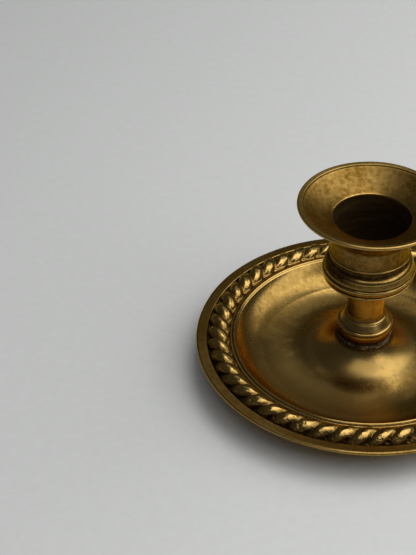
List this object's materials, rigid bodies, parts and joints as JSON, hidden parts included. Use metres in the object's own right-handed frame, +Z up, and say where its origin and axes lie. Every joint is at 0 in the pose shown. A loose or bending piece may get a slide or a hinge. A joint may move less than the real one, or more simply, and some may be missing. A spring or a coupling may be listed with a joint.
{
  "type": "chamber candlestick",
  "caption": "Low chamber candlestick: dished drip pan with a rope border on a foot ring, short turned stem and a flared cup for a taper candle.",
  "frame": {"origin": "centre of the foot ring, on the table", "axes": "+Z up, along the axis that every turned piece shares; +X and +Y are level and carry no special meaning"},
  "size_m": [0.1, 0.1, 0.059],
  "materials": {
    "pan_brass": "aged, satin, with dark patina and fine scratches",
    "rope_brass": "cast, polished on the crests and dark in the grooves",
    "stem_brass": "turned, satin, aged",
    "cup_brass": "turned, satin, aged, with a dark bore",
    "screw_brass": "dull turned brass",
    "solder": "tarnished, rough solder",
    "steel": "dull steel with light rust"
  },
  "bodies": {
    "root": {"drip_pan": "pan_brass", "rope_border": "rope_brass", "foot_ring": "pan_brass", "stem": "stem_brass", "solder_fillet": "solder", "seat_disc": "cup_brass", "candle_cup": "cup_brass", "cup_screw": "screw_brass", "base_washer": "steel", "base_screw": "steel"}
  },
  "joints": []
}
